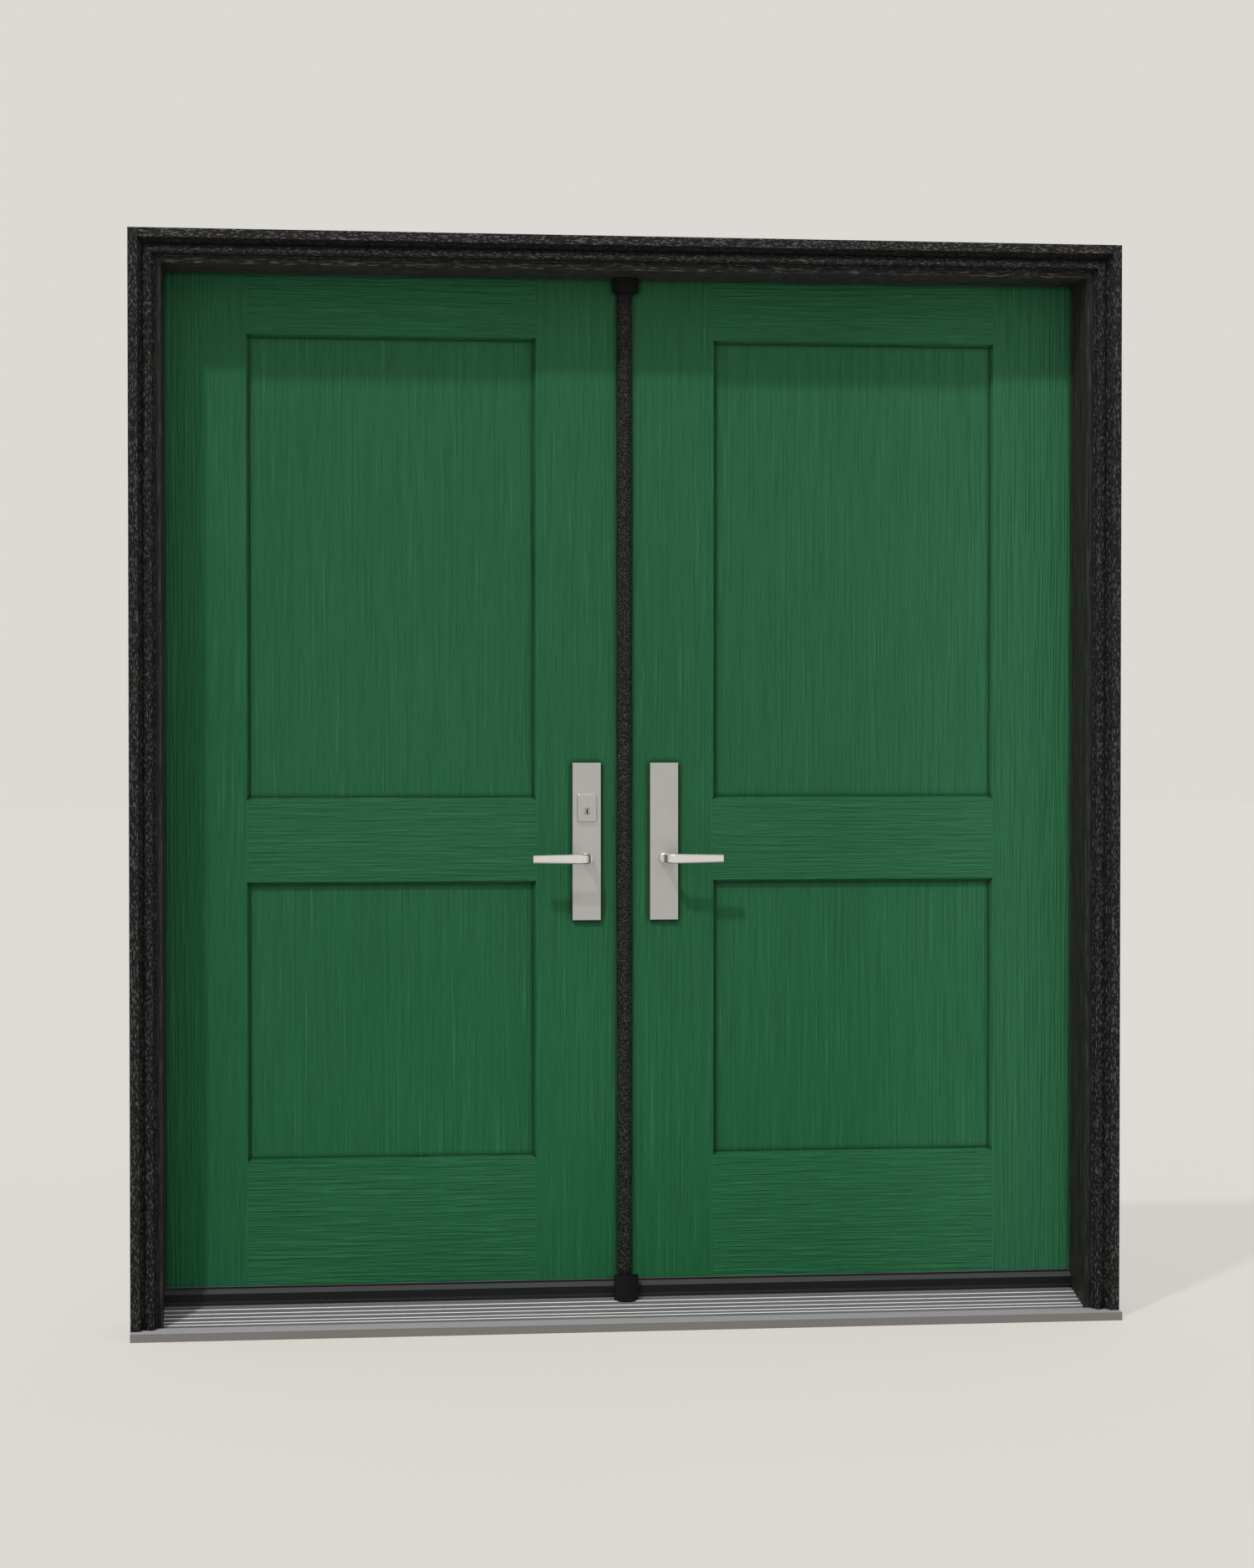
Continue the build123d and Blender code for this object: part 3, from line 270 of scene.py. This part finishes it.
def smooth_black(name, tone, roughness, speckle=900.0, depth=0.0001, worn=0.25, gloss=0.35):
    """Moulded black piece, faintly speckled and clouded."""
    finish = Finish(name, Specular_IOR_Level=gloss, Roughness=roughness)
    speckles = finish.noise(even(speckle), 2.0, 0.5)
    clouds = finish.noise(even(18.0), 3.0, 0.55)
    rounded, edge = finish.edges(MOULDED_ARRIS)
    finish.relief(speckles, depth, rounded)
    base = finish.blend(finish.fit(clouds, 0.3, 0.7), times(tone, 0.75), times(tone, 1.3))
    base = finish.blend(finish.math("MULTIPLY", edge, worn), base, even(0.09))
    finish.link(base, "Base Color")
    uneven = finish.fit(speckles, 0.3, 0.7, roughness - 0.08, roughness + 0.1)
    finish.link(uneven, "Roughness")
    return finish.material


def metal(
    name, tone, roughness, axis, line=1400.0, depth=0.00002, edge_tone=None, worn=0.35,
    radius=PLATE_ARRIS, painted_shade_behind=None,
):
    """Brushed or rolled metal, with fine lines along one axis, smudges and brighter edges. What lies
    deeper than the given distance from the wall plane is painted near black, painted shade as inside a
    keyhole."""
    finish = Finish(name, Metallic=1.0, Roughness=roughness)
    lines = finish.noise(along(axis, 12.0, line), 2.0, 0.6)
    smudges = finish.noise(even(22.0), 3.0, 0.6)
    rounded, edge = finish.edges(radius)
    finish.relief(lines, depth, rounded)
    base = finish.blend(finish.fit(smudges, 0.35, 0.7), tone, times(tone, 0.94))
    base = finish.blend(finish.fit(lines, 0.4, 0.7, 0.0, 0.18), base, times(tone, 1.12))
    bright = edge_tone or tuple(min(1.0, c) for c in times(tone, 1.4))
    base = finish.blend(finish.math("MULTIPLY", edge, worn), base, bright)
    # Painted shade: deep in the keyway the metal is painted near black
    if painted_shade_behind is not None:
        deep = finish.fit(finish.place("Y"), painted_shade_behind, painted_shade_behind + 0.0003)
        base = finish.blend(deep, base, even(0.003))
        finish.link(finish.math("SUBTRACT", 1.0, deep), "Metallic")
    finish.link(base, "Base Color")
    finish.link(finish.fit(smudges, 0.3, 0.75, roughness - 0.03, roughness + 0.06), "Roughness")
    return finish.material


def rubber(name, light_above=None):
    """Soft black, dusty in places. Above the height light_above it is a light metal plate's edge."""
    finish = Finish(name, Specular_IOR_Level=0.3, Roughness=0.7)
    skin = finish.noise(even(1500.0), 2.0, 0.5)
    dust = finish.noise(even(30.0), 4.0, 0.6)
    finish.relief(skin, 0.00006)
    base = finish.blend(finish.fit(dust, 0.4, 0.75, 0.0, 0.6), even(0.014), (0.05, 0.048, 0.045))
    if light_above is not None:
        rise = finish.fit(finish.place("Z"), light_above, light_above + 0.0002)
        base = finish.blend(rise, base, (0.10, 0.105, 0.11))
    finish.link(base, "Base Color")
    finish.link(finish.fit(dust, 0.3, 0.7, 0.6, 0.82), "Roughness")
    return finish.material


def cap_finish():
    """Black sill cap: dull, paler on its slope and dark on its upright face, chosen by which way each
    face points, partly its own two tones and partly painted light on the slope and painted shade on the
    face.
    """
    finish = Finish("black_sill_cap", Specular_IOR_Level=0.2, Roughness=0.55)
    speckles = finish.noise(even(600.0), 2.0, 0.5)
    streaks = finish.noise(along("x", 30.0, 500.0), 3.0, 0.55)
    rounded, edge = finish.edges(MOULDED_ARRIS)
    finish.relief(speckles, 0.00012, rounded)
    streaked = finish.fit(streaks, 0.35, 0.7)
    slope = finish.blend(streaked, (0.034, 0.036, 0.037), (0.044, 0.046, 0.047))
    # Painted light and shade: faces turned up take the paler slope colour, upright faces near black
    base = finish.blend(finish.fit(finish.facing("Z"), 0.2, 0.8), (0.004, 0.005, 0.0055), slope)
    base = finish.blend(finish.math("MULTIPLY", edge, 0.3), base, even(0.09))
    finish.link(base, "Base Color")
    finish.link(finish.fit(speckles, 0.3, 0.7, 0.5, 0.65), "Roughness")
    return finish.material


def deck_finish():
    """Rolled aluminium: dull between the ribs, and bright on their tops, which stand above the deck;
    the bright rib tops are painted highlights.
    """
    finish = Finish("rolled_aluminium", Metallic=0.4, Roughness=0.5)
    scratches = finish.noise(along("x", 12.0, 900.0), 2.0, 0.6)
    smudges = finish.noise(along("x", 9.0, 30.0), 3.0, 0.6)
    rounded, edge = finish.edges(SHEET_ARRIS)
    finish.relief(scratches, 0.00004, rounded)
    inward = finish.place("Y")
    height = finish.place("Z")
    run_up = finish.math("MAXIMUM", finish.math("SUBTRACT", inward, DECK_LEVEL_END_Y), 0.0)
    surface = finish.math("ADD", finish.math("MULTIPLY", run_up, DECK_SLOPE), DECK_LEVEL_Z)
    above = finish.math("SUBTRACT", height, surface)
    smudged = finish.fit(smudges, 0.35, 0.7)
    base = finish.blend(smudged, (0.165, 0.168, 0.176), (0.13, 0.133, 0.138))
    base = finish.blend(finish.fit(scratches, 0.4, 0.7, 0.0, 0.2), base, (0.27, 0.27, 0.275))
    on_slope = finish.fit(inward, DECK_LEVEL_END_Y, DECK_LEVEL_END_Y + 0.001)
    # Painted highlight: the tops of the ribs on the slope are painted near white
    rib_top_highlight = finish.blend(on_slope, (0.30, 0.305, 0.315), even(1.0))
    base = finish.blend(finish.fit(above, *DECK_RIB_RISE), base, rib_top_highlight)
    base = finish.blend(finish.math("MULTIPLY", edge, 0.3), base, even(0.6))
    base = finish.blend(finish.fit(height, *DECK_LIP_Z), base, (0.014, 0.0155, 0.017))
    base = finish.blend(finish.fit(height, *DECK_NOSE_Z), base, (0.185, 0.176, 0.163))
    finish.link(base, "Base Color")
    finish.link(finish.fit(smudges, 0.3, 0.75, 0.45, 0.6), "Roughness")
    return finish.material


MOULDING_TONE = (0.0078, 0.0080, 0.0084)
JAMB_TONE = (0.021, 0.0175, 0.0175)
# How far the jambs' corners darken, painted shade
JAMB_PAINTED_SHADE = (0.01, 0.2, 0.7)
BAR_TONE = (0.0046, 0.0050, 0.0054)
PLATE_TONE = (0.53, 0.535, 0.53)
finishes = {
    "stile": painted_wood("green_upright_grain", "z", 4.5, 0.0010, 0.0013, 260.0, (3.1, 0.0, 7.7)),
    "panel": painted_wood("green_panel_grain", "z", 4.5, 0.0008, 0.0012, 280.0, (11.3, 2.0, 1.9)),
    "rail": painted_wood("green_level_grain", "x", 9.0, 0.0024, 0.0014, 240.0, (0.7, 5.0, 23.0)),
    "moulding_upright": black_grain(
        "black_moulding_upright", "z", MOULDING_TONE, 0.0013, glint_speck=0.42, gloss=0.2,
        painted_corner_shade=(0.02, 0.1, 0.5),
    ),
    "moulding_level": black_grain(
        "black_moulding_level", "x", MOULDING_TONE, 0.0013, glint_speck=0.5, gloss=0.22,
        painted_corner_shade=(0.03, 0.55, 1.0),
    ),
    "jamb_upright": black_grain(
        "black_jamb_upright", "z", JAMB_TONE, 0.0004, glint_speck=0.15, gloss=0.2, cross=420.0, run=9.0,
        painted_side_light=(0.026, 0.0215, 0.0210), painted_corner_shade=JAMB_PAINTED_SHADE,
    ),
    "jamb_level": black_grain(
        "black_jamb_level", "x", JAMB_TONE, 0.0008, glint_speck=0.4, gloss=0.2, cross=330.0, run=22.0,
        painted_side_light=(0.028, 0.024, 0.0235), painted_corner_shade=JAMB_PAINTED_SHADE,
    ),
    "bar": black_grain(
        "black_cover_bar", "z", BAR_TONE, 0.0008, glint_speck=0.42, gloss=0.17, cross=620.0, run=260.0
    ),
    "block": smooth_black("black_end_block", (0.0025, 0.0032, 0.0032), 0.5, worn=0.06, gloss=0.15),
    "cap": cap_finish(),
    "core": smooth_black("dark_sill_core", (0.030, 0.029, 0.028), 0.7, 400.0, 0.0003),
    "sill": deck_finish(),
    "rubber": rubber("seal_black"),
    "sweep": rubber("sweep_black", SWEEP_EDGE_Z),
    "hinge": metal("hinge_nickel", (0.52, 0.51, 0.48), 0.32, "z"),
    "screw": metal("screw_nickel", (0.50, 0.49, 0.46), 0.35, "y", 700.0),
    "lock": metal("zinc_plate", (0.52, 0.53, 0.54), 0.4, "z"),
    "plate": metal(
        "plate_nickel", PLATE_TONE, 0.48, "z", 1600.0, 0.000012, edge_tone=(0.8, 0.8, 0.78), worn=0.6
    ),
    "guard": metal(
        "guard_nickel", PLATE_TONE, 0.42, "z", 1600.0, 0.000012, edge_tone=(0.95, 0.95, 0.93),
        worn=0.95, radius=HANDLE_ARRIS,
    ),
    "lever": metal(
        "lever_nickel", (0.84, 0.835, 0.82), 0.33, "x", 1600.0, 0.00001, edge_tone=(0.98, 0.98, 0.97),
        worn=0.9, radius=HANDLE_ARRIS,
    ),
    "cylinder": metal("cylinder_nickel", (0.40, 0.395, 0.385), 0.38, "z", 2000.0),
    "plug": metal(
        "plug_nickel", (0.44, 0.435, 0.42), 0.38, "z", 2000.0, painted_shade_behind=KEY_SLOT_Y
    ),
}

node_finish = {
    "left_jamb": "jamb_upright",
    "right_jamb": "jamb_upright",
    "head_jamb": "jamb_level",
    "left_brickmould": "moulding_upright",
    "right_brickmould": "moulding_upright",
    "head_brickmould": "moulding_level",
    "threshold_base": "core",
    "threshold_deck": "sill",
    "sill_cap": "cap",
    "side_weatherstrips": "rubber",
    "head_weatherstrip": "rubber",
    "astragal_head_block": "block",
    "astragal_sill_block": "block",
    "frame_hinge_leaves": "hinge",
    "hinge_pins": "hinge",
    "frame_hinge_screws": "screw",
    "bolt_keeps": "lock",
    "astragal": "bar",
    "astragal_seal": "rubber",
    "strike_plate": "lock",
    "passive_bolt_case": "lock",
    "active_lock_case": "lock",
    "cylinder_guard": "guard",
    "key_cylinder": "cylinder",
    "key_plug": "plug",
    "thumbturn": "lever",
    "latch_bolt": "lock",
    "deadbolt": "lock",
    "top_shoot_bolt": "lock",
    "bottom_shoot_bolt": "lock",
}
leaf_finish = {
    "hinge_stile": "stile",
    "lock_stile": "stile",
    "top_rail": "rail",
    "lock_rail": "rail",
    "bottom_rail": "rail",
    "upper_panel": "panel",
    "lower_panel": "panel",
    "sweep": "sweep",
    "hinge_leaves": "hinge",
    "hinge_screws": "screw",
    "outer_plate": "plate",
    "inner_plate": "plate",
    "outer_lever": "lever",
    "inner_lever": "lever",
    "spindle": "lock",
}
for leaf in ("active", "passive"):
    for piece, finish_name in leaf_finish.items():
        node_finish[leaf + "_" + piece] = finish_name

for node_name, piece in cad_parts.items():
    piece.data.materials.clear()
    piece.data.materials.append(finishes[node_finish[node_name]])

# Face of the cylinder guard: a thin plate with a round hole, so that only the cylinder's disc shows
CYLINDER_X = -0.078
CYLINDER_Z = 1.013
GUARD_FRONT_Y = 0.0995
FACE_HALF_WIDTH = 0.0181
FACE_BELOW = 0.0190
FACE_ABOVE = 0.0350
FACE_CORNER = 0.0028
FACE_PROUD = 0.0013
FACE_CHAMFER = 0.0006
FACE_HOLE_RADIUS = 0.0087


def rounded_outline(half_width, low, high, corner, steps=6):
    """Points round a rectangle with rounded corners, anticlockwise from its right-hand side."""
    points = []
    for x, z, start in (
        (half_width - corner, high - corner, 0),
        (corner - half_width, high - corner, 90),
        (corner - half_width, low + corner, 180),
        (half_width - corner, low + corner, 270),
    ):
        for step in range(steps + 1):
            angle = math.radians(start + 90 * step / steps)
            points.append((x + corner * math.cos(angle), z + corner * math.sin(angle)))
    return points


def guard_face():
    outline = rounded_outline(FACE_HALF_WIDTH, -FACE_BELOW, FACE_ABOVE, FACE_CORNER)
    count = len(outline)
    hole = []
    for x, z in outline:
        angle = math.atan2(z, x)
        hole.append((FACE_HOLE_RADIUS * math.cos(angle), FACE_HOLE_RADIUS * math.sin(angle)))
    rings = (
        (outline, FACE_PROUD, FACE_CHAMFER),
        (hole, FACE_PROUD, 0.0),
        (outline, 0.0, 0.0),
        (hole, 0.0, 0.0),
    )
    verts = []
    for ring, proud, shrink in rings:
        for x, z in ring:
            length = math.hypot(x, z)
            reach = (length - shrink) / length
            verts.append((CYLINDER_X + x * reach, GUARD_FRONT_Y - proud, CYLINDER_Z + z * reach))
    faces = []
    for i in range(count):
        j = (i + 1) % count
        faces.append((i, j, count + j, count + i))
        faces.append((2 * count + i, 2 * count + j, j, i))
        faces.append((count + i, count + j, 3 * count + j, 3 * count + i))
    mesh = bpy.data.meshes.new("guard_face")
    mesh.from_pydata(verts, [], faces)
    mesh.materials.append(finishes["guard"])
    face = bpy.data.objects.new("guard_face", mesh)
    scene.collection.objects.link(face)
    return face


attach(guard_face(), "active_leaf")

# Floor: pale, without an edge in sight, and kept light where the object shades it
PALE = linear(221, 217, 212)
FLOOR_HALF = 40.0
FLOOR_GLOW = 0.7


def floor_finish():
    finish = Finish("pale_floor", Roughness=0.9, Specular_IOR_Level=0.0)
    cloud = finish.noise(even(0.7), 3.0, 0.5)
    base = finish.blend(finish.fit(cloud, 0.3, 0.7), times(PALE, 0.66), times(PALE, 0.685))
    finish.link(base, "Base Color")
    seen = finish.node("ShaderNodeLightPath").outputs["Is Camera Ray"]
    share = finish.math("MULTIPLY", seen, FLOOR_GLOW)
    glow = finish.node("ShaderNodeEmission", {"Color": (*PALE, 1.0), "Strength": 1.0})
    inputs = {0: share, 1: finish.shader.outputs[0], 2: glow.outputs[0]}
    both = finish.node("ShaderNodeMixShader", inputs)
    surface = finish.tree.nodes["Material Output"].inputs["Surface"]
    finish.tree.links.new(both.outputs[0], surface)
    return finish.material


floor_mesh = bpy.data.meshes.new("floor")
floor_corners = [
    (x * FLOOR_HALF, y * FLOOR_HALF, 0.0) for x, y in ((-1, -1), (1, -1), (1, 1), (-1, 1))
]
floor_mesh.from_pydata(floor_corners, [], [(0, 1, 2, 3)])
floor = bpy.data.objects.new("floor", floor_mesh)
scene.collection.objects.link(floor)
floor_mesh.materials.append(floor_finish())

# Surroundings: even pale light, which the camera and reflections see in the backdrop's colour
SKY_COLOUR = (1.0, 0.99, 0.98, 1.0)
SKY_STRENGTH = 1.03
world = bpy.data.worlds.new("surroundings")
scene.world = world
world.use_nodes = True
tree = world.node_tree
background = tree.nodes["Background"]
background.inputs["Color"].default_value = SKY_COLOUR
background.inputs["Strength"].default_value = SKY_STRENGTH
shown = tree.nodes.new("ShaderNodeBackground")
shown.inputs["Color"].default_value = (*PALE, 1.0)
shown.inputs["Strength"].default_value = 1.0
rays = tree.nodes.new("ShaderNodeLightPath")
seen = tree.nodes.new("ShaderNodeMath")
seen.operation = "MAXIMUM"
tree.links.new(rays.outputs["Is Camera Ray"], seen.inputs[0])
tree.links.new(rays.outputs["Is Glossy Ray"], seen.inputs[1])
choose = tree.nodes.new("ShaderNodeMixShader")
tree.links.new(seen.outputs[0], choose.inputs[0])
tree.links.new(background.outputs[0], choose.inputs[1])
tree.links.new(shown.outputs[0], choose.inputs[2])
tree.links.new(choose.outputs[0], tree.nodes["World Output"].inputs["Surface"])

# One soft key light from high on the left, in front
LIGHT_RUN = Vector((0.74, 1.0, -1.58))
key = bpy.data.lights.new("key", "SUN")
key.energy = 2.12
key.angle = math.radians(3.0)
key.color = (1.0, 0.985, 0.96)
key_lamp = bpy.data.objects.new("key", key)
key_lamp.rotation_euler = LIGHT_RUN.to_track_quat("-Z", "Y").to_euler()
key_lamp.location = -3 * LIGHT_RUN
scene.collection.objects.link(key_lamp)

# Camera at the photograph's viewing angle
IMAGE_HEIGHT = 1875
FOCAL_PIXELS = 3876.1
SENSOR = 36.0
EYE = Vector((-0.7879, -6.3232, 1.1866))
YAW = 0.1224
PITCH = -0.0183
camera_data = bpy.data.cameras.new("camera")
camera_data.sensor_width = SENSOR
camera_data.lens = FOCAL_PIXELS * SENSOR / IMAGE_HEIGHT
camera_data.clip_end = 200.0
camera = bpy.data.objects.new("camera", camera_data)
level = math.cos(PITCH)
gaze = Vector((math.sin(YAW) * level, math.cos(YAW) * level, math.sin(PITCH)))
right = Vector((math.cos(YAW), -math.sin(YAW), 0.0))
up = right.cross(gaze)
turn = Matrix((right, up, -gaze)).transposed()
camera.matrix_world = Matrix.Translation(EYE) @ turn.to_4x4()
scene.collection.objects.link(camera)
scene.camera = camera

scene.view_settings.view_transform = "Standard"
